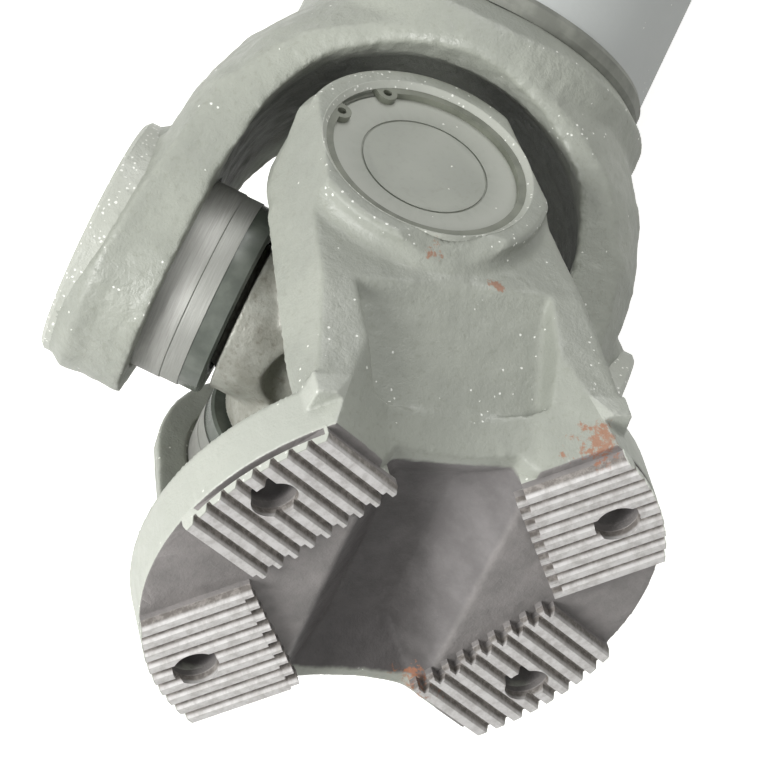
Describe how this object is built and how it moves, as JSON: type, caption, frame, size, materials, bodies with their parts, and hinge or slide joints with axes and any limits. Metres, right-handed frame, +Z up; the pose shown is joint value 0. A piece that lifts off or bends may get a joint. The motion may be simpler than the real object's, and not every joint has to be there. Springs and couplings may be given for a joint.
{
  "type": "drive shaft",
  "caption": "Splined drive shaft with a universal joint at each end, round bolt-on flanges with crossed locking teeth, a welded tube and a sliding sleeve section.",
  "frame": {"origin": "middle of the footprint, on the floor the shaft lies on", "axes": "+X along the shaft from the swung flange (end A) to the straight flange (end B), +Z up, +Y across; in millimetres in the source"},
  "size_m": [0.8668, 0.2284, 0.2342],
  "materials": {
    "flange_yoke_paint": "satin",
    "forging_paint": "satin",
    "tube_paint": "satin",
    "spline_steel": "satin",
    "cross_steel": "satin",
    "zinc_steel": "satin",
    "cup_steel": "satin",
    "seal_ring_paint": "satin",
    "spring_steel": "satin",
    "roller_steel": "polished",
    "washer_plastic": "matte",
    "seal_rubber": "matte"
  },
  "bodies": {
    "shaft": {"tube_yoke": "forging_paint", "tube_yoke_weld": "tube_paint", "shaft_tube": "tube_paint", "splined_shaft_weld": "tube_paint", "splined_shaft": "spline_steel", "balance_weight_1": "tube_paint", "balance_weight_2": "tube_paint", "bearing_cup_shaft_a_1": "cup_steel", "bearing_cup_shaft_a_2": "cup_steel", "cup_seal_shaft_a_1": "seal_ring_paint", "cup_seal_shaft_a_2": "seal_ring_paint", "circlip_shaft_a_1": "spring_steel", "circlip_shaft_a_2": "spring_steel", "needle_rollers_shaft_a_1": "roller_steel", "needle_rollers_shaft_a_2": "roller_steel", "thrust_washer_shaft_a_1": "washer_plastic", "thrust_washer_shaft_a_2": "washer_plastic"},
    "cross_a": {"cross_a": "cross_steel", "cross_grease_nipple_a": "zinc_steel"},
    "flange_a": {"flange_yoke_a": "flange_yoke_paint", "bearing_cup_flange_a_1": "cup_steel", "bearing_cup_flange_a_2": "cup_steel", "cup_seal_flange_a_1": "seal_ring_paint", "cup_seal_flange_a_2": "seal_ring_paint", "circlip_flange_a_1": "spring_steel", "circlip_flange_a_2": "spring_steel", "needle_rollers_flange_a_1": "roller_steel", "needle_rollers_flange_a_2": "roller_steel", "thrust_washer_flange_a_1": "washer_plastic", "thrust_washer_flange_a_2": "washer_plastic"},
    "slip_yoke": {"slip_yoke": "forging_paint", "bore_plug": "zinc_steel", "seal_cover": "zinc_steel", "dust_seal": "seal_rubber", "slip_grease_nipple": "zinc_steel", "bearing_cup_shaft_b_1": "cup_steel", "bearing_cup_shaft_b_2": "cup_steel", "cup_seal_shaft_b_1": "seal_ring_paint", "cup_seal_shaft_b_2": "seal_ring_paint", "circlip_shaft_b_1": "spring_steel", "circlip_shaft_b_2": "spring_steel", "needle_rollers_shaft_b_1": "roller_steel", "needle_rollers_shaft_b_2": "roller_steel", "thrust_washer_shaft_b_1": "washer_plastic", "thrust_washer_shaft_b_2": "washer_plastic"},
    "cross_b": {"cross_b": "cross_steel", "cross_grease_nipple_b": "zinc_steel"},
    "flange_b": {"flange_yoke_b": "flange_yoke_paint", "bearing_cup_flange_b_1": "cup_steel", "bearing_cup_flange_b_2": "cup_steel", "cup_seal_flange_b_1": "seal_ring_paint", "cup_seal_flange_b_2": "seal_ring_paint", "circlip_flange_b_1": "spring_steel", "circlip_flange_b_2": "spring_steel", "needle_rollers_flange_b_1": "roller_steel", "needle_rollers_flange_b_2": "roller_steel", "thrust_washer_flange_b_1": "washer_plastic", "thrust_washer_flange_b_2": "washer_plastic"}
  },
  "joints": [
    {"name": "cross_a_pivot", "type": "hinge", "parent": "shaft", "child": "cross_a", "pos_m": [-0.28931, 0.01823, 0.10341], "axis": [0, 1, 0], "range_deg": [-69, 1]},
    {"name": "flange_a_pivot", "type": "hinge", "parent": "cross_a", "child": "flange_a", "pos_m": [-0.28931, 0.01823, 0.10341], "axis": [0.5692, 0, 0.8222], "range_deg": [-61.3, 0.3]},
    {"name": "slip_slide", "type": "slide", "parent": "shaft", "child": "slip_yoke", "axis": [0.9999, 0, -0.0122], "range_m": [-0.009, 0.045]},
    {"name": "cross_b_pivot", "type": "hinge", "parent": "slip_yoke", "child": "cross_b", "pos_m": [0.31965, 0.01823, 0.096], "axis": [0, 1, 0], "range_deg": [-34, 34]},
    {"name": "flange_b_pivot", "type": "hinge", "parent": "cross_b", "child": "flange_b", "pos_m": [0.31965, 0.01823, 0.096], "axis": [0, 0, 1], "range_deg": [-30.8, 30.8]}
  ]
}
